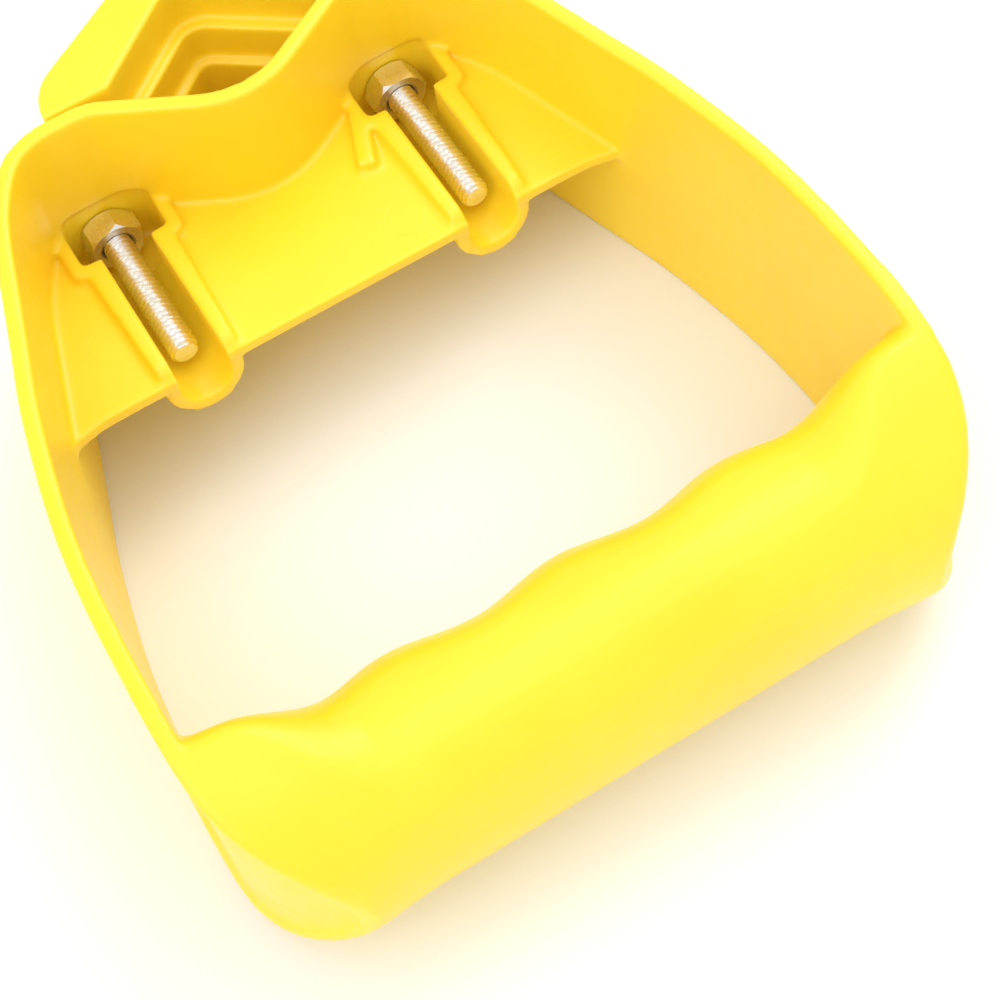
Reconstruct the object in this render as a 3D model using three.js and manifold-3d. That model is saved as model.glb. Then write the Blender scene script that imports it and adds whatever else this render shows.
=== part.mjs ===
// Clamp-on D-grip handle: a moulded grip, a V clamp cap and two bolts with captive nuts.
// Millimetres. X runs across the grip, Y from the grip to the cap, Z through the depth of the handle.
// Y = 0 is the face where cap and handle meet. Z = 0 is the rim the handle lies on.
// The finished group is moved along Y so that the frame's origin is under the middle of the whole part.
import * as THREE from 'three';
import { mergeVertices } from 'three/addons/utils/BufferGeometryUtils.js';
import Module from 'manifold-3d';

const DEPTH = 62;
const MID = DEPTH / 2;
const WALL = 3.6;
const JOINT_GAP = 0.3;
const PAST = 2;
const BEYOND = 90;

// Side arms and the rounded end of the handle.
const ARM_POINTS = [
  [38, 0], [42.5, -1], [48.5, -4.8], [55.3, -16], [60.6, -32.5], [64.2, -44.3],
  [68, -56.5], [71.4, -71], [73.9, -84.8], [75.2, -98], [75.8, -112], [76, -126],
];
const CORNER_HALF_WIDTH = 31.4;
const CORNER_HALF_LENGTH = 33;
const CORNER_X = 44.5;
const CORNER_Y = -133.5;
const END_CENTRE_Y = -116;
const END_HALF_LENGTH = 47.2;
const RIM_HEIGHT = 3.8;
const RIM_AT_TIP = 2.2;
const RECESS_DEPTH = 1.4;
const RECESS_TOP_Y = -18;
const FADE_X = 58;

// V cradle in the end wall.
const CRADLE_SLOPE = Math.PI / 6;
const CRADLE_RADIUS = 17.5;
const CRADLE_BOTTOM_Y = -13.4;
const SHOULDER_X = 31.1;
const SHOULDER_RADIUS = 12;

// Mid-depth web.
const WEB_THICKNESS = 3;
const WEB_EDGE_Y = -48;
const WEB_FLARE = 4;
const WEB_FLARE_X = [50, 60, 66];

// Finger grip.
const GRIP_Y = -142.8;
const GRIP_HALF_WIDTH = 18;
const GRIP_HALF_DEPTH = 23;
const CREST_SPACING = 34.8;
const CREST_HEIGHT = 1.5;
const GRIP_END_X = 73.5;
const FLARE_START_X = 44;
const FLARE_END_X = 66;
const END_TOP_Y = -133;
const END_OUTER_REACH = 30.4;
const END_HALF_DEPTH = 29.2;
const REACH_START_X = 54;
const END_REACH = 3;
const GRIP_STATIONS = 42;
const RING_POINTS = 36;

// Fasteners, 1/4 inch with 20 threads to the inch.
const BOLT_X = 33.6;
const BOLT_Z = MID - 3.5;
const THREAD_RADIUS = 3.15;
const ROOT_RADIUS = 2.55;
const PITCH = 1.27;
const BOLT_LENGTH = 50.8;
const HEX_FLATS = 11.11;
const HEAD_HEIGHT = 4.37;
const NUT_HEIGHT = 5.56;
const WASHER_RADIUS = 7.9;
const WASHER_THICKNESS = 1.6;
const HOLE_RADIUS = 3.6;
const TIP_CHAMFER = 0.7;
const RIDGES = 25;
const PLAIN_RADIUS = 2.85;
const NUT_BORE_RADIUS = 3.5;
const HEX_CHAMFER = 0.9;

// Nut pockets and bolt troughs.
const POCKET_X = 33;
const NUT_BACK_Y = -2.6;
const POCKET_WIDTH = 19;
const POCKET_WALL = 3;
const SHOULDER_Y = -14.2;
const TROUGH_WIDTH = 11;
const TROUGH_END_Y = -47.5;
const TROUGH_END_RADIUS = 4;
const TROUGH_END_LEAN = 0.7;
const TROUGH_ROOT_WIDTH = 19.6;
const POCKET_RISE = 7.5;
const POCKET_FLOOR = 7;
const POCKET_CORNER_OUTER = 5;
const POCKET_CORNER_INNER = 3;
const SHOULDER_CORNER = 2.6;
const TAB_OUTLINE = [[20, -11.4], [23.6, -13.2], [19.1, -25.4], [15.4, -24.1]];

// Clamp cap.
const CAP_FOOT_X = 36.4;
const CAP_APEX_Y = 26.5;
const CAP_APEX_RADIUS = 16;
const CAP_CORNER_RADIUS = 12;
const CAP_CORNER_Y = 0.7;
const CAP_BORE_X = 22.5;
const SEAT_Y = 9.1;
const CAP_BORE_SLOPE = (38 * Math.PI) / 180;
const CAP_BORE_RADIUS = 8;
const CAP_BORE_APEX_Y = 15.7;
const STEP_DEPTHS = [20.5, 12];
const STEP_INSETS = [3, 5.2];
const BOSS_RADIUS = 8.5;
const SPOTFACE_RADIUS = 9;

const wasm = await Module();
wasm.setup();

const YELLOW = { color: 0xffd91f, roughness: 0.34, metalness: 0 };
const ZINC = { color: 0xc9c6bd, roughness: 0.3, metalness: 0.95 };

function solid(geometry) {
  const bare = new THREE.BufferGeometry();
  bare.setAttribute('position', geometry.getAttribute('position').clone());
  if (geometry.index) bare.setIndex(geometry.index.clone());
  const merged = mergeVertices(bare, 1e-4);
  const vertProperties = new Float32Array(merged.getAttribute('position').array);
  const triVerts = new Uint32Array(merged.index.array);
  return new wasm.Manifold(new wasm.Mesh({ numProp: 3, vertProperties, triVerts }));
}

function geometryOf(body) {
  const mesh = body.getMesh();
  const shared = new THREE.BufferGeometry();
  shared.setAttribute('position', new THREE.BufferAttribute(new Float32Array(mesh.vertProperties), 3));
  shared.setIndex(new THREE.BufferAttribute(new Uint32Array(mesh.triVerts), 1));
  const flat = shared.toNonIndexed();
  flat.computeVertexNormals();
  return flat;
}

function meshOf(name, body, look) {
  const mesh = new THREE.Mesh(geometryOf(body), new THREE.MeshStandardMaterial(look));
  mesh.name = name;
  return mesh;
}

function slab(outline, bottom, top, holes = []) {
  const shape = new THREE.Shape(outline.map(([x, y]) => new THREE.Vector2(x, y)));
  for (const hole of holes) {
    shape.holes.push(new THREE.Path(hole.map(([x, y]) => new THREE.Vector2(x, y))));
  }
  const geometry = new THREE.ExtrudeGeometry(shape, { depth: top - bottom, bevelEnabled: false });
  geometry.translate(0, 0, bottom);
  return solid(geometry);
}

function block(x0, x1, y0, y1, z0, z1) {
  const geometry = new THREE.BoxGeometry(x1 - x0, y1 - y0, z1 - z0);
  geometry.translate((x0 + x1) / 2, (y0 + y1) / 2, (z0 + z1) / 2);
  return solid(geometry);
}

function rodAlongY(radius, x, z, y0, y1, segments = 32) {
  const geometry = new THREE.CylinderGeometry(radius, radius, y1 - y0, segments);
  geometry.translate(x, (y0 + y1) / 2, z);
  return solid(geometry);
}

function ellipseArc(centreX, centreY, halfX, halfY, from, to, steps) {
  const points = [];
  for (let i = 0; i <= steps; i += 1) {
    const angle = from + ((to - from) * i) / steps;
    points.push([centreX + halfX * Math.cos(angle), centreY + halfY * Math.sin(angle)]);
  }
  return points;
}

function arc(centreX, centreY, radius, from, to, steps) {
  return ellipseArc(centreX, centreY, radius, radius, from, to, steps);
}

// A slab across the handle whose outline is drawn in Y and Z.
function sideSlab(points, halfWidth) {
  const shape = new THREE.Shape(points.map(([y, z]) => new THREE.Vector2(y, z)));
  const geometry = new THREE.ExtrudeGeometry(shape, { depth: 2 * halfWidth, bevelEnabled: false });
  geometry.translate(0, 0, -halfWidth);
  const toY = new THREE.Vector3(0, 1, 0);
  const toZ = new THREE.Vector3(0, 0, 1);
  const toX = new THREE.Vector3(1, 0, 0);
  geometry.applyMatrix4(new THREE.Matrix4().makeBasis(toY, toZ, toX));
  return solid(geometry);
}

function mirrored(points) {
  return points.map(([x, y]) => [-x, y]).reverse();
}

// Half of the cradle from its bottom to the shoulder.
function cradleHalf() {
  const centreY = CRADLE_BOTTOM_Y + CRADLE_RADIUS;
  const quarter = Math.PI / 2;
  const bottom = arc(0, centreY, CRADLE_RADIUS, -quarter, -quarter + CRADLE_SLOPE, 4);
  const blend = arc(SHOULDER_X, -SHOULDER_RADIUS, SHOULDER_RADIUS, quarter + CRADLE_SLOPE, quarter, 4);
  return bottom.concat(blend);
}

// The outer outline of the handle on its right side, from the cradle to the middle of the grip end.
function outlineHalf() {
  const spline = new THREE.SplineCurve(ARM_POINTS.map(([x, y]) => new THREE.Vector2(x, y)));
  const arm = spline.getPoints(26).map((point) => [point.x, point.y]);
  const quarter = Math.PI / 2;
  const corner = ellipseArc(CORNER_X, CORNER_Y, CORNER_HALF_WIDTH, CORNER_HALF_LENGTH, 0, -quarter, 16);
  return cradleHalf().concat(arm, corner);
}

function outline() {
  const half = outlineHalf();
  return half.concat(mirrored(half).slice(0, -1));
}

// Moves every point of a closed outline inwards along its normal.
function inset(points, distance) {
  const count = points.length;
  return points.map((point, i) => {
    const before = points[(i + count - 1) % count];
    const after = points[(i + 1) % count];
    const dx = after[0] - before[0];
    const dy = after[1] - before[1];
    const length = Math.hypot(dx, dy);
    return [point[0] + (distance * dy) / length, point[1] - (distance * dx) / length];
  });
}

// The handle seen from its side: straight rims that end in half an ellipse.
function sideProfile(marginZ, marginY) {
  const quarter = Math.PI / 2;
  const halfLength = END_HALF_LENGTH - marginY;
  const end = ellipseArc(END_CENTRE_Y, MID, halfLength, MID - marginZ, quarter, 3 * quarter, 40);
  return sideSlab([[PAST, marginZ], [PAST, DEPTH - marginZ], ...end], BEYOND);
}

function handleShell() {
  const outer = outline();
  const body = slab(outer, 0, DEPTH).intersect(sideProfile(0, 0));
  const hollow = slab(inset(outer, WALL), -PAST, DEPTH + PAST);
  const fade = block(-FADE_X, FADE_X, CORNER_Y - BEYOND, CORNER_Y, -PAST, DEPTH + PAST);
  return body.subtract(hollow).subtract(fade);
}

// The shallow recess between the rims, all round the outside of both arms.
function outerRecess() {
  const outer = outline();
  const floor = inset(outer, RECESS_DEPTH).reverse();
  const band = slab(inset(outer, -PAST), -PAST, DEPTH + PAST, [floor]);
  const belowCradle = block(-BEYOND, BEYOND, RECESS_TOP_Y - 2 * BEYOND, RECESS_TOP_Y, 0, DEPTH);
  return band.intersect(sideProfile(RIM_HEIGHT, RIM_AT_TIP)).intersect(belowCradle);
}

function web() {
  const half = WEB_THICKNESS / 2;
  const [startX, bendX, wallX] = WEB_FLARE_X;
  const flare = new THREE.QuadraticBezierCurve(
    new THREE.Vector2(startX, WEB_EDGE_Y),
    new THREE.Vector2(bendX, WEB_EDGE_Y),
    new THREE.Vector2(wallX, WEB_EDGE_Y - WEB_FLARE),
  );
  const edge = flare.getPoints(6).map((point) => [point.x, point.y]);
  const area = [[-wallX, PAST], [wallX, PAST], ...edge.slice().reverse(), ...mirrored(edge).reverse()];
  return slab(area, MID - half, MID + half).intersect(slab(inset(outline(), WALL / 2), 0, DEPTH));
}

function mix(from, to, amount) {
  return from + (to - from) * amount;
}

// One closed ring of the grip at a station across the handle. It flares into the arms at both ends.
function gripRing(x) {
  const far = Math.abs(x);
  const t = Math.min(Math.max((far - FLARE_START_X) / (FLARE_END_X - FLARE_START_X), 0), 1);
  const flare = t * t * (3 - 2 * t);
  const centreY = mix(GRIP_Y, END_TOP_Y, flare);
  const depth = mix(GRIP_HALF_DEPTH, END_HALF_DEPTH, flare);
  const outer = mix(GRIP_HALF_WIDTH + 1, END_OUTER_REACH, flare);
  const wave = CREST_HEIGHT * Math.cos((2 * Math.PI * x) / CREST_SPACING) * (1 - flare);
  const rise = Math.max(far - REACH_START_X, 0) / (GRIP_END_X - REACH_START_X);
  const handY = GRIP_Y + GRIP_HALF_WIDTH + wave + END_REACH * rise * rise;
  const ring = [];
  for (let i = 0; i < RING_POINTS; i += 1) {
    const angle = (2 * Math.PI * i) / RING_POINTS;
    const reach = Math.cos(angle) > 0 ? handY - centreY : outer;
    ring.push([x, centreY + reach * Math.cos(angle), MID + depth * Math.sin(angle)]);
  }
  return ring;
}

function grip() {
  const positions = [];
  const indices = [];
  for (let s = 0; s <= GRIP_STATIONS; s += 1) {
    const x = -GRIP_END_X + (2 * GRIP_END_X * s) / GRIP_STATIONS;
    for (const point of gripRing(x)) positions.push(...point);
  }
  for (let s = 0; s < GRIP_STATIONS; s += 1) {
    for (let i = 0; i < RING_POINTS; i += 1) {
      const a = s * RING_POINTS + i;
      const b = s * RING_POINTS + ((i + 1) % RING_POINTS);
      indices.push(a, b, a + RING_POINTS, b, b + RING_POINTS, a + RING_POINTS);
    }
  }
  const last = GRIP_STATIONS * RING_POINTS;
  for (let i = 1; i < RING_POINTS - 1; i += 1) {
    indices.push(0, i + 1, i, last, last + i, last + i + 1);
  }
  const geometry = new THREE.BufferGeometry();
  geometry.setAttribute('position', new THREE.Float32BufferAttribute(positions, 3));
  geometry.setIndex(indices);
  return solid(geometry).intersect(slab(outline(), 0, DEPTH)).intersect(sideProfile(0, 0));
}

// The wide part of a T pocket, centred on X = 0, with rounded corners at its back and front.
function pocketSlab(halfWidth, frontY, backY, backRadius, frontRadius, bottom, top) {
  const quarter = Math.PI / 2;
  const back = arc(halfWidth - backRadius, backY - backRadius, backRadius, 0, quarter, 5);
  const front = arc(halfWidth - frontRadius, frontY + frontRadius, frontRadius, -quarter, 0, 4);
  const half = front.concat(back);
  return slab(half.concat(mirrored(half)), bottom, top);
}

// The open end of a trough: upright, with its top corner rounded off.
function troughEndCut() {
  const top = BOLT_Z + POCKET_RISE;
  const bottom = BOLT_Z - TROUGH_WIDTH;
  const away = TROUGH_END_Y - BEYOND;
  const radius = TROUGH_END_RADIUS;
  const quarter = Math.PI / 2;
  const corner = arc(TROUGH_END_Y + radius, top - radius, radius, quarter, 2 * quarter, 5);
  const start = TROUGH_END_Y + radius;
  const foot = TROUGH_END_Y - TROUGH_END_LEAN;
  const beyond = [[foot, bottom], [away, bottom], [away, top + PAST]];
  return sideSlab([[start, top + PAST], ...corner, ...beyond], POCKET_WIDTH);
}

function pocketWalls() {
  const half = POCKET_WIDTH / 2 + POCKET_WALL;
  const top = BOLT_Z + POCKET_RISE;
  const bottom = BOLT_Z - POCKET_FLOOR - POCKET_WALL;
  const front = SHOULDER_Y - POCKET_WALL;
  const box = pocketSlab(half, front, -WALL / 2, POCKET_CORNER_OUTER, SHOULDER_CORNER, bottom, top);
  const endHalf = TROUGH_WIDTH / 2 + POCKET_WALL;
  const rootHalf = TROUGH_ROOT_WIDTH / 2;
  const low = TROUGH_END_Y - PAST;
  const taper = [[-endHalf, low], [endHalf, low], [rootHalf, front + 1], [-rootHalf, front + 1]];
  const sides = slab(taper, BOLT_Z, top);
  const floor = rodAlongY(endHalf, 0, BOLT_Z, low, front + 1);
  return box.add(sides.add(floor).subtract(troughEndCut()));
}

function pocketSpace() {
  const half = TROUGH_WIDTH / 2;
  const top = BOLT_Z + POCKET_RISE + PAST;
  const floor = BOLT_Z - POCKET_FLOOR;
  const box = pocketSlab(POCKET_WIDTH / 2, SHOULDER_Y, NUT_BACK_Y, POCKET_CORNER_INNER, 1, floor, top);
  const low = TROUGH_END_Y - 2 * PAST;
  const channel = block(-half, half, low, SHOULDER_Y + PAST, BOLT_Z, top);
  const bed = rodAlongY(half, 0, BOLT_Z, low, SHOULDER_Y + PAST);
  return box.add(channel).add(bed);
}

function tab() {
  return slab(TAB_OUTLINE, MID, BOLT_Z + POCKET_RISE);
}

function handle() {
  let body = handleShell().add(web()).add(grip()).subtract(outerRecess()).add(tab());
  for (const side of [-1, 1]) body = body.add(pocketWalls().translate([side * POCKET_X, 0, 0]));
  for (const side of [-1, 1]) {
    body = body.subtract(pocketSpace().translate([side * POCKET_X, 0, 0]));
    body = body.subtract(rodAlongY(HOLE_RADIUS, side * BOLT_X, BOLT_Z, SHOULDER_Y, PAST));
  }
  return body;
}

// The cap outline with its V bore moved in by a step.
function capOutline(step) {
  const slope = CAP_BORE_SLOPE;
  const up = Math.PI / 2;
  const foot = JOINT_GAP;
  const apex = arc(0, CAP_APEX_Y - CAP_APEX_RADIUS, CAP_APEX_RADIUS, up, up - CRADLE_SLOPE, 5);
  const cornerX = CAP_FOOT_X - CAP_CORNER_RADIUS;
  const corner = arc(cornerX, CAP_CORNER_Y, CAP_CORNER_RADIUS, up - CRADLE_SLOPE, 0, 8);
  const radius = CAP_BORE_RADIUS - step;
  const bore = arc(0, CAP_BORE_APEX_Y - CAP_BORE_RADIUS, radius, up - slope, up, 5);
  const boreFoot = CAP_BORE_X - step / Math.sin(slope);
  const half = [...apex, ...corner, [CAP_FOOT_X, foot], [boreFoot, foot], ...bore];
  return half.concat(mirrored(half).slice(1, -1));
}

function cap() {
  let body = slab(capOutline(0), 0, DEPTH);
  STEP_DEPTHS.forEach((reach, i) => {
    body = body.add(slab(capOutline(STEP_INSETS[i]), MID - reach, MID + reach));
  });
  for (const side of [-1, 1]) {
    const x = side * BOLT_X;
    body = body.add(rodAlongY(BOSS_RADIUS, x, BOLT_Z, JOINT_GAP, SEAT_Y, 40));
    body = body.subtract(rodAlongY(SPOTFACE_RADIUS, x, BOLT_Z, SEAT_Y, BEYOND, 40));
    body = body.subtract(rodAlongY(HOLE_RADIUS, x, BOLT_Z, -PAST, BEYOND));
  }
  return body;
}

// A hexagon across the bolt axis with its corners chamfered at one or both ends.
function hexagon(height, chamferBoth) {
  const corner = HEX_FLATS / Math.sqrt(3);
  const flat = HEX_FLATS / 2;
  const drop = (corner - flat) * HEX_CHAMFER;
  const prism = new THREE.CylinderGeometry(corner, corner, height, 6);
  prism.translate(0, height / 2, 0);
  const low = chamferBoth ? [[0, 0], [flat, 0], [corner, drop]] : [[0, 0], [corner, 0]];
  const profile = [...low, [corner, height - drop], [flat, height], [0, height]];
  const turned = new THREE.LatheGeometry(profile.map(([r, y]) => new THREE.Vector2(r, y)), 36);
  return solid(prism).intersect(solid(turned));
}

function bolt() {
  const profile = [[0, 0], [ROOT_RADIUS - TIP_CHAMFER / 2, 0]];
  for (let i = 0; i < RIDGES; i += 1) {
    profile.push([THREAD_RADIUS, (i + 0.5) * PITCH]);
    profile.push([ROOT_RADIUS, (i + 1) * PITCH]);
  }
  const inHead = BOLT_LENGTH + HEAD_HEIGHT / 2;
  profile.push([PLAIN_RADIUS, (RIDGES + 0.5) * PITCH]);
  profile.push([PLAIN_RADIUS, inHead]);
  profile.push([0, inHead]);
  const shank = new THREE.LatheGeometry(profile.map(([r, y]) => new THREE.Vector2(r, y)), 16);
  return solid(shank).add(hexagon(HEAD_HEIGHT, false).translate([0, BOLT_LENGTH, 0]));
}

function nut() {
  return hexagon(NUT_HEIGHT, true).subtract(rodAlongY(NUT_BORE_RADIUS, 0, 0, -PAST, NUT_HEIGHT + PAST, 24));
}

function washer() {
  const disc = rodAlongY(WASHER_RADIUS, 0, 0, 0, WASHER_THICKNESS, 36);
  return disc.subtract(rodAlongY(HOLE_RADIUS, 0, 0, -PAST, WASHER_THICKNESS + PAST, 24));
}

const assembly = new THREE.Group();
assembly.add(meshOf('handle', handle(), YELLOW));
assembly.add(meshOf('clamp_cap', cap(), YELLOW));

const NUT_TURNS = { left: 0.2, right: 0.5 };
for (const [name, side] of [['left', -1], ['right', 1]]) {
  const headY = SEAT_Y + WASHER_THICKNESS + 2 * JOINT_GAP;
  const fasteners = new THREE.Group();
  fasteners.position.set(side * BOLT_X, 0, BOLT_Z);
  const boltMesh = meshOf(`bolt_${name}`, bolt(), ZINC);
  boltMesh.position.y = headY - BOLT_LENGTH;
  const nutMesh = meshOf(`nut_${name}`, nut(), ZINC);
  nutMesh.position.y = NUT_BACK_Y - JOINT_GAP - NUT_HEIGHT;
  nutMesh.rotation.y = NUT_TURNS[name];
  const washerMesh = meshOf(`washer_${name}`, washer(), ZINC);
  washerMesh.position.y = SEAT_Y + JOINT_GAP;
  fasteners.add(boltMesh, nutMesh, washerMesh);
  assembly.add(fasteners);
}

const extent = new THREE.Box3().setFromObject(assembly);
assembly.position.y = -(extent.min.y + extent.max.y) / 2;

export default assembly;
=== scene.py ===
"""Looks of a clamp-on D-grip handle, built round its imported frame.

The two yellow mouldings are softened copies of the frame's own solids, with the rounded rims and
filled corners of injection moulding. The bolts are modelled here with helical threads, and the nuts
and washers with chamfers, countersinks and smooth bores. Everything is in metres, in the frame's
own axes.
"""

import logging
import math
from dataclasses import dataclass, field
from enum import Enum
from typing import Callable, Iterable

import bmesh
import bpy
from mathutils import Matrix, Vector


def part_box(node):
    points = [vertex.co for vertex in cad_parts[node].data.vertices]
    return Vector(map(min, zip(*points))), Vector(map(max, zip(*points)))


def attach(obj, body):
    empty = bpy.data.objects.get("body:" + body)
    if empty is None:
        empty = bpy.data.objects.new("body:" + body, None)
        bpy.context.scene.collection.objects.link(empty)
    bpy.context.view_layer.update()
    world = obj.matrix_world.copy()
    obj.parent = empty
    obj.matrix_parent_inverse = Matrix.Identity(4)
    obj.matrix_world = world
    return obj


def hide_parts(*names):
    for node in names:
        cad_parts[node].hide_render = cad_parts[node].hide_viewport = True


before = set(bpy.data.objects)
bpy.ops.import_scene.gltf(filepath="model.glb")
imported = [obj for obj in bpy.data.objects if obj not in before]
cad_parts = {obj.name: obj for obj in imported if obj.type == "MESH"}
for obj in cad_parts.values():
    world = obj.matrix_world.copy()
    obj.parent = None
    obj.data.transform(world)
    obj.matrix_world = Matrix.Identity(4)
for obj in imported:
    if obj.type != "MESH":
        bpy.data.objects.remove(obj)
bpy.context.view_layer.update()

LOG = logging.getLogger("d_grip")
MM = 0.001
SAME_PLACE = 1e-6
FINE_SIDES = 64
COLLAR_SHARE = 0.96

PIN_MARKS = ((0.0547, 0.0255), (0.0180, 0.0291), (-0.0150, 0.0510), (-0.0462, 0.0353))


class Side(Enum):
    """The two sides of the handle, with the sign of X."""

    LEFT = -1
    RIGHT = 1

    @property
    def word(self) -> str:
        """The side's name in lower case."""
        return self.name.lower()


class Slot(Enum):
    """The record's material slots."""

    HANDLE = "handle_plastic"
    CAP = "cap_plastic"
    BOLT = "bolt_zinc"
    NUT = "nut_zinc"
    WASHER = "washer_zinc"


NUT_TURNS = {Side.LEFT: 0.2, Side.RIGHT: 0.5}


# ---------------------------------------------------------------- helpers on meshes


def activate(piece: bpy.types.Object) -> None:
    """Makes one object the only selected and the active one.

    Args:
        piece: The object to work on.
    """
    if bpy.context.object is not None and bpy.context.object.mode != "OBJECT":
        bpy.ops.object.mode_set(mode="OBJECT")
    bpy.ops.object.select_all(action="DESELECT")
    piece.select_set(True)
    bpy.context.view_layer.objects.active = piece


def apply_modifier(piece: bpy.types.Object, kind: str, **settings: object) -> None:
    """Adds a modifier, sets it and applies it.

    Args:
        piece: The object that gets the modifier.
        kind: Blender's name for the type of modifier.
        **settings: The modifier's properties.
    """
    activate(piece)
    modifier = piece.modifiers.new(kind.lower(), kind)
    for key, value in settings.items():
        setattr(modifier, key, value)
    bpy.ops.object.modifier_apply(modifier=modifier.name)


def combine(piece: bpy.types.Object, tool: bpy.types.Object, operation: str) -> None:
    """Joins, cuts or intersects a piece with a tool, and removes the tool.

    Args:
        piece: The object that is kept.
        tool: The closed object that acts on it.
        operation: UNION, DIFFERENCE or INTERSECT.
    """
    apply_modifier(piece, "BOOLEAN", operation=operation, object=tool, solver="EXACT")
    mesh = tool.data
    bpy.data.objects.remove(tool)
    bpy.data.meshes.remove(mesh)


def select_edges(piece: bpy.types.Object, test: Callable[[Vector, Vector], bool]) -> None:
    """Selects the edges whose ends pass a test, in edit mode.

    Args:
        piece: The object in edit mode.
        test: Takes an edge's two end points and says whether to select it.
    """
    mesh = bmesh.from_edit_mesh(piece.data)
    for edge in mesh.edges:
        edge.select_set(test(edge.verts[0].co, edge.verts[1].co))
    mesh.select_flush_mode()
    bmesh.update_edit_mesh(piece.data)


def edit(piece: bpy.types.Object, mode: str) -> None:
    """Enters edit mode with nothing selected.

    Args:
        piece: The object to edit.
        mode: VERT, EDGE or FACE.
    """
    activate(piece)
    bpy.ops.object.mode_set(mode="EDIT")
    bpy.ops.mesh.select_mode(type=mode)
    bpy.ops.mesh.select_all(action="DESELECT")


def leave_edit() -> None:
    """Returns to object mode."""
    bpy.ops.object.mode_set(mode="OBJECT")


def settle(piece: bpy.types.Object) -> None:
    """Moves an object's place, turn and size into its mesh.

    Args:
        piece: The object to settle at the origin.
    """
    activate(piece)
    bpy.ops.object.transform_apply(location=True, rotation=True, scale=True)


def cylinder_along_y(radius: float, y0: float, y1: float, sides: int) -> bpy.types.Object:
    """Adds a closed cylinder along Y about the origin's axis.

    Args:
        radius: Its radius, to the corners.
        y0: Its lower end.
        y1: Its upper end.
        sides: How many sides it has.

    Returns:
        The new object, settled.
    """
    bpy.ops.mesh.primitive_cylinder_add(
        vertices=sides,
        radius=radius,
        depth=y1 - y0,
        location=(0, (y0 + y1) / 2, 0),
        rotation=(math.pi / 2, 0, 0),
    )
    piece = bpy.context.object
    settle(piece)
    return piece


def chamfer_ends(
    piece: bpy.types.Object, y_values: Iterable[float], width: float, segments: int
) -> None:
    """Bevels the round edges that lie at given heights along Y.

    Args:
        piece: A lathe-like object about Y.
        y_values: The heights of the edges.
        width: The bevel's offset.
        segments: 1 for a flat chamfer, more for a round.
    """
    heights = list(y_values)

    def lies_at_an_end(a: Vector, b: Vector) -> bool:
        """Whether both ends of an edge are at one of the heights."""
        return any(abs(a.y - y) < SAME_PLACE and abs(b.y - y) < SAME_PLACE for y in heights)

    edit(piece, "EDGE")
    select_edges(piece, lies_at_an_end)
    bpy.ops.mesh.bevel(offset=width, segments=segments, profile=0.5, affect="EDGES")
    leave_edit()


# ---------------------------------------------------------------- finishes


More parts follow.
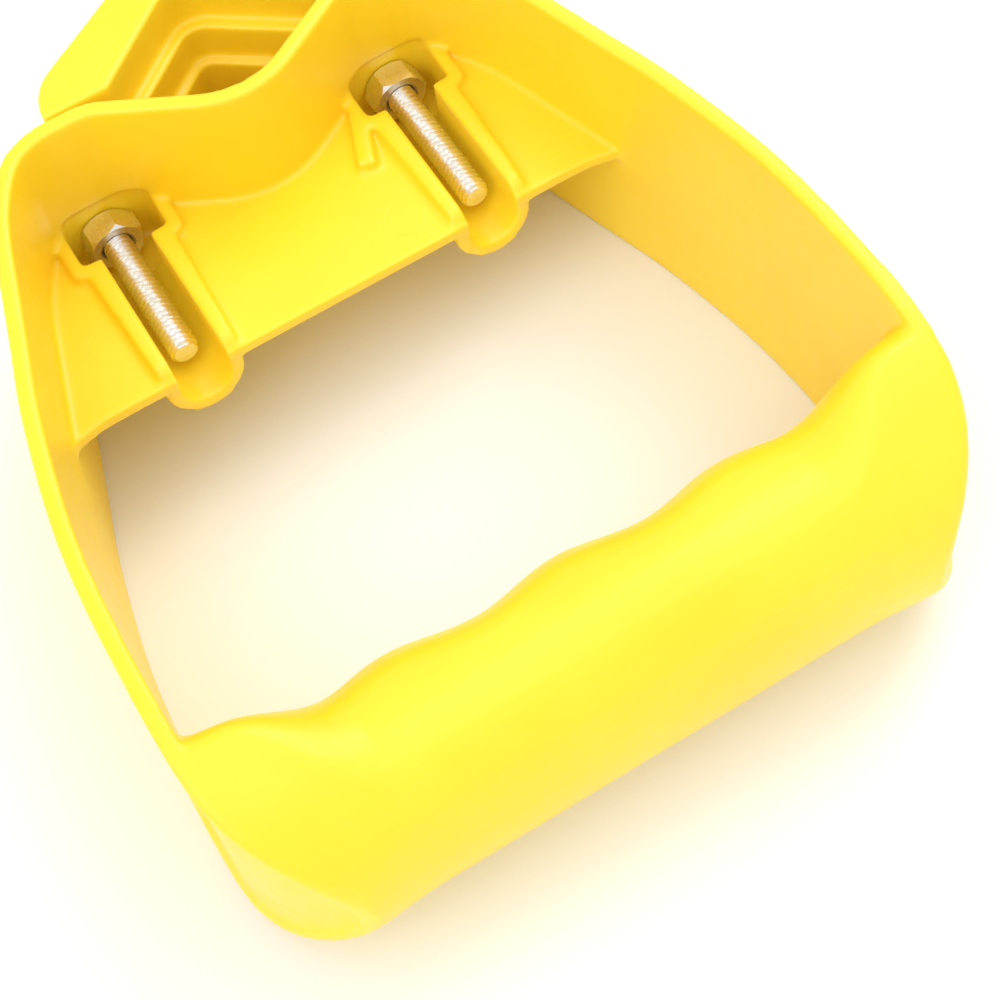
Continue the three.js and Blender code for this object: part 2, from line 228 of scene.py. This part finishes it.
class NodeBench:
    """A small helper that lays out one material's shader nodes."""

    def __init__(self, name: str) -> None:
        """Starts an empty node material.

        Args:
            name: The material's name.
        """
        self.material = bpy.data.materials.new(name)
        self.material.use_nodes = True
        self.tree = self.material.node_tree
        self.tree.nodes.clear()
        self.shader = self.add("ShaderNodeBsdfPrincipled")
        output = self.add("ShaderNodeOutputMaterial")
        self.link(self.shader.outputs["BSDF"], output.inputs["Surface"])
        self.place = self.add("ShaderNodeTexCoord").outputs["Object"]

    def add(self, kind: str, **settings: object) -> bpy.types.Node:
        """Adds a node and sets its properties.

        Args:
            kind: The node's type.
            **settings: Properties of the node.

        Returns:
            The new node.
        """
        node = self.tree.nodes.new(kind)
        for key, value in settings.items():
            setattr(node, key, value)
        return node

    def link(self, source: bpy.types.NodeSocket, target: bpy.types.NodeSocket) -> None:
        """Joins two sockets."""
        self.tree.links.new(source, target)

    def noise(
        self, per_metre: float, detail: float, stretch: tuple = (1.0, 1.0, 1.0)
    ) -> bpy.types.NodeSocket:
        """Noise of a real size on object coordinates.

        Args:
            per_metre: Patches in a metre.
            detail: Octaves of finer noise.
            stretch: Scale along each axis.

        Returns:
            The noise's value.
        """
        mapping = self.add("ShaderNodeMapping")
        mapping.inputs["Scale"].default_value = stretch
        self.link(self.place, mapping.inputs["Vector"])
        noise = self.add("ShaderNodeTexNoise")
        noise.inputs["Scale"].default_value = per_metre
        noise.inputs["Detail"].default_value = detail
        self.link(mapping.outputs["Vector"], noise.inputs["Vector"])
        return noise.outputs["Fac"]

    def math(self, operation: str, first: object, second: object = 0.0) -> bpy.types.NodeSocket:
        """One math node.

        Args:
            operation: Blender's name for the operation.
            first: A socket or a number.
            second: A socket or a number.

        Returns:
            The result.
        """
        node = self.add("ShaderNodeMath", operation=operation)
        for value, socket in ((first, node.inputs[0]), (second, node.inputs[1])):
            if isinstance(value, bpy.types.NodeSocket):
                self.link(value, socket)
            else:
                socket.default_value = value
        return node.outputs[0]

    def ranged(
        self, value: bpy.types.NodeSocket, source: tuple, target: tuple
    ) -> bpy.types.NodeSocket:
        """Maps a value from one range to another, clamped.

        Args:
            value: The value to map.
            source: Lowest and highest value in.
            target: Lowest and highest value out.

        Returns:
            The mapped value.
        """
        node = self.add("ShaderNodeMapRange")
        self.link(value, node.inputs["Value"])
        node.inputs["From Min"].default_value, node.inputs["From Max"].default_value = source
        node.inputs["To Min"].default_value, node.inputs["To Max"].default_value = target
        return node.outputs["Result"]

    def blend(
        self, amount: bpy.types.NodeSocket, first: object, second: object
    ) -> bpy.types.NodeSocket:
        """Mixes two colours.

        Args:
            amount: 0 for the first, 1 for the second.
            first: A colour or a socket.
            second: A colour or a socket.

        Returns:
            The mixed colour.
        """
        node = self.add("ShaderNodeMix", data_type="RGBA")
        self.link(amount, node.inputs["Factor"])
        for value, socket in ((first, node.inputs[6]), (second, node.inputs[7])):
            if isinstance(value, bpy.types.NodeSocket):
                self.link(value, socket)
            else:
                socket.default_value = (*value, 1.0)
        return node.outputs[2]

    def edge_highlight_mask(self) -> bpy.types.NodeSocket:
        """How far a point lies on an outward edge, from 0 to 1: the mask of the painted edge
        highlight.
        """
        pointiness = self.add("ShaderNodeNewGeometry").outputs["Pointiness"]
        return self.ranged(pointiness, (0.52, 0.62), (0.0, 1.0))

    def bump(self, heights: list[tuple[bpy.types.NodeSocket, float]]) -> None:
        """Stacks bumps of real heights on the shader's normal.

        Args:
            heights: Pairs of a value from 0 to 1 and its height in metres.
        """
        normal = None
        for value, distance in heights:
            node = self.add("ShaderNodeBump")
            node.inputs["Distance"].default_value = distance
            self.link(value, node.inputs["Height"])
            if normal is not None:
                self.link(normal, node.inputs["Normal"])
            normal = node.outputs["Normal"]
        self.link(normal, self.shader.inputs["Normal"])


@dataclass(frozen=True)
class MouldedPlastic:
    """Semi-gloss injection-moulded plastic with faint flow variation and a painted highlight on its
    edges, broken up by noise.
    """

    name: str
    colour: tuple = (1.0, 0.745, 0.03)
    deep_colour: tuple = (0.98, 0.69, 0.018)
    edge_highlight_colour: tuple = (1.0, 0.82, 0.12)
    roughness: float = 0.33
    patches_per_metre: float = 28.0
    peel_per_metre: float = 420.0
    peel_height: float = 0.000018
    grain_per_metre: float = 4200.0
    grain_height: float = 0.000004
    pin_marks: tuple = ()
    pin_radius: float = 0.0043
    pin_plane: float = 0.0325
    pin_height: float = 0.00003
    pin_level: tuple = (0.0006, 0.0009)
    pin_line: float = 0.00022
    highlight_breakup_per_metre: float = 900.0
    clouds_per_metre: float = 160.0
    cloud_range: tuple = (-0.04, 0.07)
    glow: float = 0.08
    glow_colour: tuple = (1.0, 0.8, 0.15)
    glow_depth: float = 0.003

    def pin_rings(self, bench: NodeBench) -> bpy.types.NodeSocket:
        """Thin witness rings of the mould's ejector pins.

        Args:
            bench: The material being laid out.

        Returns:
            A value that is 1 in the rings' fine grooves.
        """
        parts = bench.add("ShaderNodeSeparateXYZ")
        bench.link(bench.place, parts.inputs[0])
        flat = bench.add("ShaderNodeCombineXYZ")
        bench.link(parts.outputs["X"], flat.inputs["X"])
        bench.link(parts.outputs["Y"], flat.inputs["Y"])
        above = bench.math("SUBTRACT", parts.outputs["Z"], self.pin_plane)
        level = bench.ranged(bench.math("ABSOLUTE", above), self.pin_level, (1.0, 0.0))
        total = None
        for x, y in self.pin_marks:
            far = bench.add("ShaderNodeVectorMath", operation="DISTANCE")
            bench.link(flat.outputs[0], far.inputs[0])
            far.inputs[1].default_value = (x, y, 0.0)
            past = bench.math("SUBTRACT", far.outputs["Value"], self.pin_radius)
            ring = bench.ranged(bench.math("ABSOLUTE", past), (0.0, self.pin_line), (1.0, 0.0))
            total = ring if total is None else bench.math("MAXIMUM", total, ring)
        return bench.math("MULTIPLY", total, level)

    def material(self) -> bpy.types.Material:
        """Lays out the plastic's shader.

        Returns:
            The material.
        """
        bench = NodeBench(self.name)
        patches = bench.ranged(bench.noise(self.patches_per_metre, 3.0), (0.3, 0.7), (0.0, 1.0))
        edges = bench.edge_highlight_mask()
        base = bench.blend(patches, self.colour, self.deep_colour)
        # Painted highlight: the outward edges are painted a paler yellow, in patches set by a noise.
        highlight_breakup = bench.noise(self.highlight_breakup_per_metre, 6.0)
        painted_edge_highlight = bench.math("MULTIPLY", edges, bench.ranged(highlight_breakup, (0.35, 0.65), (0.3, 1.0)))
        bench.link(bench.blend(painted_edge_highlight, base, self.edge_highlight_colour), bench.shader.inputs["Base Color"])
        low, high = (self.roughness + change for change in self.cloud_range)
        cloudy = bench.ranged(bench.noise(self.clouds_per_metre, 5.0), (0.3, 0.7), (low, high))
        bench.link(cloudy, bench.shader.inputs["Roughness"])
        bench.shader.inputs["Subsurface Weight"].default_value = self.glow
        bench.shader.inputs["Subsurface Radius"].default_value = self.glow_colour
        bench.shader.inputs["Subsurface Scale"].default_value = self.glow_depth
        bench.shader.inputs["IOR"].default_value = 1.5
        heights = [
            (bench.noise(self.peel_per_metre, 2.0), self.peel_height),
            (bench.noise(self.grain_per_metre, 2.0), self.grain_height),
        ]
        if self.pin_marks:
            heights.append((bench.math("SUBTRACT", 1.0, self.pin_rings(bench)), self.pin_height))
        bench.bump(heights)
        return bench.material


@dataclass(frozen=True)
class ZincPlate:
    """Bright zinc plate with a faint warm bloom, fine turning marks and a painted highlight on its
    edges.
    """

    name: str
    colour: tuple = (0.90, 0.89, 0.87)
    bloom: tuple = (0.82, 0.79, 0.71)
    roughness: float = 0.3
    edge_highlight_colour: tuple = (0.93, 0.92, 0.9)
    patches_per_metre: float = 260.0
    clouds_per_metre: float = 1500.0
    cloud_range: tuple = (-0.05, 0.12)
    marks_per_metre: float = 300.0
    marks_height: float = 0.0000012
    streak: tuple = (1.0, 14.0, 1.0)

    def material(self) -> bpy.types.Material:
        """Lays out the plate's shader.

        Returns:
            The material.
        """
        bench = NodeBench(self.name)
        patches = bench.ranged(bench.noise(self.patches_per_metre, 4.0), (0.42, 0.7), (0.0, 1.0))
        base = bench.blend(patches, self.colour, self.bloom)
        # Painted highlight: the outward edges are painted a paler zinc.
        lit = bench.blend(bench.edge_highlight_mask(), base, self.edge_highlight_colour)
        bench.link(lit, bench.shader.inputs["Base Color"])
        bench.shader.inputs["Metallic"].default_value = 1.0
        low, high = (self.roughness + change for change in self.cloud_range)
        cloudy = bench.ranged(bench.noise(self.clouds_per_metre, 4.0), (0.3, 0.7), (low, high))
        bench.link(cloudy, bench.shader.inputs["Roughness"])
        bench.bump([(bench.noise(self.marks_per_metre, 1.0, self.streak), self.marks_height)])
        return bench.material


# ---------------------------------------------------------------- mouldings


@dataclass
class Moulding:
    """A yellow moulding: a softened copy of one solid of the frame."""

    node: str
    body: str
    slot: Slot
    piece_name: str
    finish: MouldedPlastic
    voxel: float = 0.00055
    soften_passes: int = 14
    triangles: int = 185000
    piece: bpy.types.Object = field(init=False, default=None)

    def build(self) -> bpy.types.Object:
        """Copies the solid and rounds its edges as a mould does.

        Returns:
            The finished piece.
        """
        self.piece = self.copy_of_solid()
        apply_modifier(self.piece, "REMESH", mode="VOXEL", voxel_size=self.voxel, adaptivity=0.0)
        self.soften()
        ratio = min(1.0, self.triangles / (2 * len(self.piece.data.polygons)))
        apply_modifier(self.piece, "DECIMATE", ratio=ratio)
        self.detail()
        activate(self.piece)
        bpy.ops.object.shade_smooth()
        apply_modifier(self.piece, "WEIGHTED_NORMAL", mode="FACE_AREA", weight=50)
        return self.piece

    def copy_of_solid(self) -> bpy.types.Object:
        """Copies the frame's mesh and merges its loose triangles.

        Returns:
            The copy.
        """
        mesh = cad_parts[self.node].data.copy()
        mesh.materials.clear()
        copy = bpy.data.objects.new(self.piece_name, mesh)
        bpy.context.scene.collection.objects.link(copy)
        edit(copy, "VERT")
        bpy.ops.mesh.select_all(action="SELECT")
        bpy.ops.mesh.remove_doubles(threshold=SAME_PLACE)
        leave_edit()
        return copy

    def soften(self) -> None:
        """Rounds all edges by the same small amount."""
        apply_modifier(self.piece, "SMOOTH", factor=0.5, iterations=self.soften_passes)

    def detail(self) -> None:
        """Adds the moulding's own marks; a plain moulding has none."""

    def dress(self) -> None:
        """Gives the piece its finish and body, and hides the solid it stands for."""
        self.piece.data.materials.clear()
        self.piece.data.materials.append(self.finish.material())
        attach(self.piece, self.body)
        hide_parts(self.node)


@dataclass
class GripMoulding(Moulding):
    """The D-shaped handle, with fuller fillets where the grip runs into the arms."""

    fillet_passes: int = 40
    fillet_x: tuple = (0.056, 0.066)
    fillet_y: tuple = (-0.036, -0.046)
    rim_z: tuple = (0.056, 0.062)
    middle_z: float = 0.031

    def soften(self) -> None:
        """Rounds all edges, then fills the inner corners at the grip's ends."""
        super().soften()
        group = self.piece.vertex_groups.new(name="grip_ends")
        rim = [height - self.middle_z for height in self.rim_z]
        for vertex in self.piece.data.vertices:
            far_x = ramp(abs(vertex.co.x), *self.fillet_x)
            near_grip = ramp(-vertex.co.y, -self.fillet_y[0], -self.fillet_y[1])
            off_rim = 1.0 - ramp(abs(vertex.co.z - self.middle_z), *rim)
            weight = far_x * near_grip * off_rim
            if weight > 0.0:
                group.add([vertex.index], weight, "REPLACE")
        apply_modifier(
            self.piece, "SMOOTH", factor=0.5, iterations=self.fillet_passes, vertex_group=group.name
        )
        self.piece.vertex_groups.remove(self.piece.vertex_groups["grip_ends"])


def ramp(value: float, low: float, high: float) -> float:
    """A smooth step from 0 at low to 1 at high.

    Args:
        value: Where on the step.
        low: Where it starts.
        high: Where it ends.

    Returns:
        The step's height there.
    """
    t = min(max((value - low) / (high - low), 0.0), 1.0)
    return t * t * (3.0 - 2.0 * t)


# ---------------------------------------------------------------- fasteners


@dataclass
class Fastener:
    """What bolts, nuts and washers share: they sit on an axis along Y."""

    side: Side
    body: str
    slot: Slot
    finish: ZincPlate
    node: str
    piece_name: str
    piece: bpy.types.Object = field(init=False, default=None)

    def low(self) -> Vector:
        """The lowest corner of the solid this stands for."""
        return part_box(self.node)[0]

    def high(self) -> Vector:
        """The highest corner of the solid this stands for."""
        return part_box(self.node)[1]

    def centre(self) -> Vector:
        """The middle of the solid this stands for."""
        return (self.low() + self.high()) / 2

    def put(self, turn: float = 0.0) -> None:
        """Turns the piece about its own axis and moves it to its place.

        Args:
            turn: Angle about Y, in radians.
        """
        centre = self.centre()
        self.piece.name = self.piece_name
        self.piece.data.transform(Matrix.Rotation(turn, 4, "Y"))
        self.piece.data.transform(Matrix.Translation((centre.x, 0.0, centre.z)))

    def dress(self) -> None:
        """Gives the piece its finish and body, and hides the solid it stands for."""
        activate(self.piece)
        bpy.ops.object.shade_smooth_by_angle(angle=math.radians(32))
        self.piece.data.materials.clear()
        self.piece.data.materials.append(self.finish.material())
        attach(self.piece, self.body)
        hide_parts(self.node)


def hex_prism(
    flats: float, y0: float, y1: float, chamfered: Iterable[float], chamfer: float
) -> bpy.types.Object:
    """A hexagonal prism along Y with conical chamfers on its corners.

    Args:
        flats: Distance across flats.
        y0: Its lower end.
        y1: Its upper end.
        chamfered: Which of the two ends are chamfered.
        chamfer: How far the chamfer runs down the corners.

    Returns:
        The new object.
    """
    corner = flats / math.sqrt(3.0)
    prism = cylinder_along_y(corner, y0, y1, 6)
    blank = cylinder_along_y(corner + 0.0001, y0, y1, 96)
    chamfer_ends(blank, chamfered, chamfer, 1)
    combine(prism, blank, "INTERSECT")
    return prism


@dataclass
class HexBolt(Fastener):
    """A full-thread hex bolt, its head outside the cap and its tip towards the grip."""

    pitch: float = 0.00127
    crest_radius: float = 0.00314
    root_radius: float = 0.00252
    thread_length: float = 0.0345
    head_height: float = 0.00437
    flats: float = 0.01111
    tip_chamfer: float = 0.0006
    head_chamfer: float = 0.0009
    collar_height: float = 0.00015
    shank_rise: float = 0.0003
    overlap: float = 0.001
    flank: float = 1.35
    root_flat: float = 0.15
    tip_slope: float = 1.2
    sides: int = 48
    cuts: tuple = (19, 13)

    def thread_radius(self, height: float, angle: float) -> float:
        """The rod's radius where the helix of the thread passes.

        Args:
            height: How far up from the tip.
            angle: Where round the axis, in radians.

        Returns:
            The radius, no more than the chamfer at the tip leaves.
        """
        turn = (height / self.pitch + angle / (2.0 * math.pi)) % 1.0
        rise = min(max(abs(2.0 * turn - 1.0) * self.flank - self.root_flat, 0.0), 1.0)
        radius = self.root_radius + (self.crest_radius - self.root_radius) * rise
        return min(radius, self.crest_radius + (height - self.tip_chamfer) * self.tip_slope)

    def thread(self, tip: float) -> bpy.types.Object:
        """Divides a rod finely and moves its surface in and out along a helix.

        Args:
            tip: Where the tip lies along Y.

        Returns:
            The threaded rod as a closed mesh.
        """
        piece = cylinder_along_y(self.crest_radius, tip, tip + self.thread_length, self.sides)
        for cuts in self.cuts:
            edit(piece, "EDGE")
            select_edges(piece, lambda a, b: abs(a.y - b.y) > self.pitch)
            bpy.ops.mesh.subdivide(number_cuts=cuts)
            leave_edit()
        for vertex in piece.data.vertices:
            angle = math.atan2(vertex.co.z, vertex.co.x)
            radius = self.thread_radius(vertex.co.y - tip, angle)
            vertex.co = (radius * math.cos(angle), vertex.co.y, radius * math.sin(angle))
        return piece

    def build(self) -> bpy.types.Object:
        """Joins the thread, a plain stretch in the cap and the head.

        Returns:
            The finished bolt.
        """
        tip, top = self.low().y, self.high().y
        under_head = top - self.head_height
        self.piece = self.thread(tip)
        shank_radius = self.root_radius + self.shank_rise
        shank_start = tip + self.thread_length - self.overlap
        plain = cylinder_along_y(shank_radius, shank_start, top - self.overlap, self.sides)
        combine(self.piece, plain, "UNION")
        collar_start = under_head - self.collar_height
        collar_radius = self.flats * COLLAR_SHARE / 2
        collar = cylinder_along_y(collar_radius, collar_start, under_head + self.overlap, FINE_SIDES)
        head = hex_prism(self.flats, under_head, top, [top], self.head_chamfer)
        combine(head, collar, "UNION")
        combine(self.piece, head, "UNION")
        self.put()
        return self.piece


@dataclass
class HexNut(Fastener):
    """A hex nut chamfered on both faces, with a countersunk bore."""

    turn: float = 0.0
    bore_radius: float = 0.0034
    flats: float = 0.01111
    chamfer: float = 0.0009
    countersink: float = 0.0005
    cone_past: float = 0.0006
    cone_inside: float = 0.0004

    def build(self) -> bpy.types.Object:
        """Cuts the nut from a chamfered hexagon.

        Returns:
            The finished nut.
        """
        y0, y1 = self.low().y, self.high().y
        self.piece = hex_prism(self.flats, y0, y1, [y0, y1], self.chamfer)
        bore = cylinder_along_y(self.bore_radius, y0 - MM, y1 + MM, FINE_SIDES)
        combine(self.piece, bore, "DIFFERENCE")
        for height, outwards in ((y0, -1), (y1, 1)):
            self.cut_countersink(height, outwards)
        self.put(self.turn)
        return self.piece

    def cut_countersink(self, height: float, outwards: int) -> None:
        """Opens the bore with a cone at one face.

        Args:
            height: The face's place along Y.
            outwards: The sign of the face's outward direction.
        """
        depth = self.countersink + self.cone_inside + self.cone_past
        bpy.ops.mesh.primitive_cone_add(
            vertices=FINE_SIDES,
            radius1=self.bore_radius + self.countersink + self.cone_past,
            radius2=self.bore_radius - self.cone_inside,
            depth=depth,
            location=(0, height + outwards * (self.cone_past - depth / 2), 0),
            rotation=(math.pi / 2 * outwards, 0, 0),
        )
        cone = bpy.context.object
        settle(cone)
        combine(self.piece, cone, "DIFFERENCE")


@dataclass
class FlatWasher(Fastener):
    """A stamped flat washer with one rounded and one sharper rim."""

    bore_radius: float = 0.0036
    rounded_rim: float = 0.0003
    sharp_rim: float = 0.0001

    def build(self) -> bpy.types.Object:
        """Bores a bevelled disc.

        Returns:
            The finished washer.
        """
        low, high = self.low(), self.high()
        self.piece = cylinder_along_y((high.x - low.x) / 2, low.y, high.y, 96)
        chamfer_ends(self.piece, [high.y], self.rounded_rim, 3)
        chamfer_ends(self.piece, [low.y], self.sharp_rim, 1)
        bore = cylinder_along_y(self.bore_radius, low.y - MM, high.y + MM, FINE_SIDES)
        combine(self.piece, bore, "DIFFERENCE")
        self.put()
        return self.piece


# ---------------------------------------------------------------- studio


@dataclass
class Studio:
    """A pale floor, soft lights and the camera."""

    camera_place: tuple = (-0.07397, -0.22604, 0.38942)
    right: tuple = (0.85526, -0.50999, -0.09190)
    up: tuple = (0.48563, 0.72689, 0.48559)
    back: tuple = (-0.18084, -0.45993, 0.86934)
    lens: float = 79.74
    floor_size: float = 6.0
    aim: tuple = (0.0, 0.0, 0.03)
    world_strength: float = 0.85

    def camera(self) -> None:
        """Places the camera."""
        data = bpy.data.cameras.new("camera")
        data.lens = self.lens
        data.sensor_width = 36.0
        data.clip_start = 0.01
        data.clip_end = 20.0
        camera = bpy.data.objects.new("camera", data)
        bpy.context.scene.collection.objects.link(camera)
        turned = Matrix((self.right, self.up, self.back)).transposed().to_4x4()
        camera.matrix_world = Matrix.Translation(self.camera_place) @ turned
        bpy.context.scene.camera = camera

    def floor(self) -> None:
        """Lays a plain pale floor."""
        bpy.ops.mesh.primitive_plane_add(size=self.floor_size, location=(0, 0, 0))
        floor = bpy.context.object
        floor.name = "floor"
        bench = NodeBench("pale_floor")
        bench.shader.inputs["Base Color"].default_value = (0.92, 0.92, 0.92, 1.0)
        bench.shader.inputs["Roughness"].default_value = 0.9
        floor.data.materials.append(bench.material)

    def light(self, name: str, place: tuple, size: float, watts: float) -> None:
        """Adds a square soft light aimed at the handle.

        Args:
            name: The light's name.
            place: Where it hangs.
            size: Its side.
            watts: Its power.
        """
        data = bpy.data.lights.new(name, "AREA")
        data.size = size
        data.energy = watts
        lamp = bpy.data.objects.new(name, data)
        bpy.context.scene.collection.objects.link(lamp)
        lamp.location = place
        towards = Vector(self.aim) - Vector(place)
        lamp.rotation_euler = towards.to_track_quat("-Z", "Y").to_euler()

    def world(self) -> None:
        """Fills the surroundings with even pale light."""
        world = bpy.data.worlds.new("surroundings")
        world.use_nodes = True
        background = world.node_tree.nodes["Background"]
        background.inputs["Color"].default_value = (1.0, 1.0, 1.0, 1.0)
        background.inputs["Strength"].default_value = self.world_strength
        bpy.context.scene.world = world

    def build(self) -> None:
        """Sets up camera, floor, lights and colour."""
        self.camera()
        self.floor()
        self.light("key_right", (0.9, 0.5, 1.3), 1.0, 9.0)
        self.light("fill_left", (-1.0, -0.4, 1.0), 1.2, 6.0)
        self.light("top", (0.0, -0.2, 1.6), 1.4, 5.0)
        self.world()
        bpy.context.scene.view_settings.view_transform = "Standard"


def mouldings() -> list[Moulding]:
    """The two plastic mouldings, not yet built."""
    handle_finish = MouldedPlastic("handle_yellow", pin_marks=PIN_MARKS)
    cap_finish = MouldedPlastic("cap_yellow")
    return [
        GripMoulding("handle", "handle", Slot.HANDLE, "handle_moulding", handle_finish),
        Moulding(
            "clamp_cap",
            "cap",
            Slot.CAP,
            "cap_moulding",
            cap_finish,
            voxel=0.00045,
            triangles=120000,
        ),
    ]


def fasteners(side: Side) -> list[Fastener]:
    """One side's bolt, nut and washer, not yet built.

    Args:
        side: The side of the handle.

    Returns:
        The three pieces.
    """
    bolt, nut, washer = (f"{kind}_{side.word}" for kind in ("bolt", "nut", "washer"))
    return [
        HexBolt(side, bolt, Slot.BOLT, ZincPlate(f"{bolt}_zinc"), bolt, f"hex_{bolt}"),
        HexNut(
            side,
            "handle",
            Slot.NUT,
            ZincPlate(f"{nut}_zinc"),
            nut,
            f"hex_{nut}",
            turn=NUT_TURNS[side],
        ),
        FlatWasher(side, "cap", Slot.WASHER, ZincPlate(f"{washer}_zinc"), washer, f"flat_{washer}"),
    ]


def main() -> None:
    """Builds the studio and every piece, in order."""
    logging.basicConfig(level=logging.INFO, format="%(name)s: %(message)s")
    Studio().build()
    parts = [*mouldings(), *fasteners(Side.LEFT), *fasteners(Side.RIGHT)]
    for part in parts:
        part.build()
        part.dress()
        LOG.info("%s: %d faces", part.piece.name, len(part.piece.data.polygons))


if __name__ == "__main__":
    main()
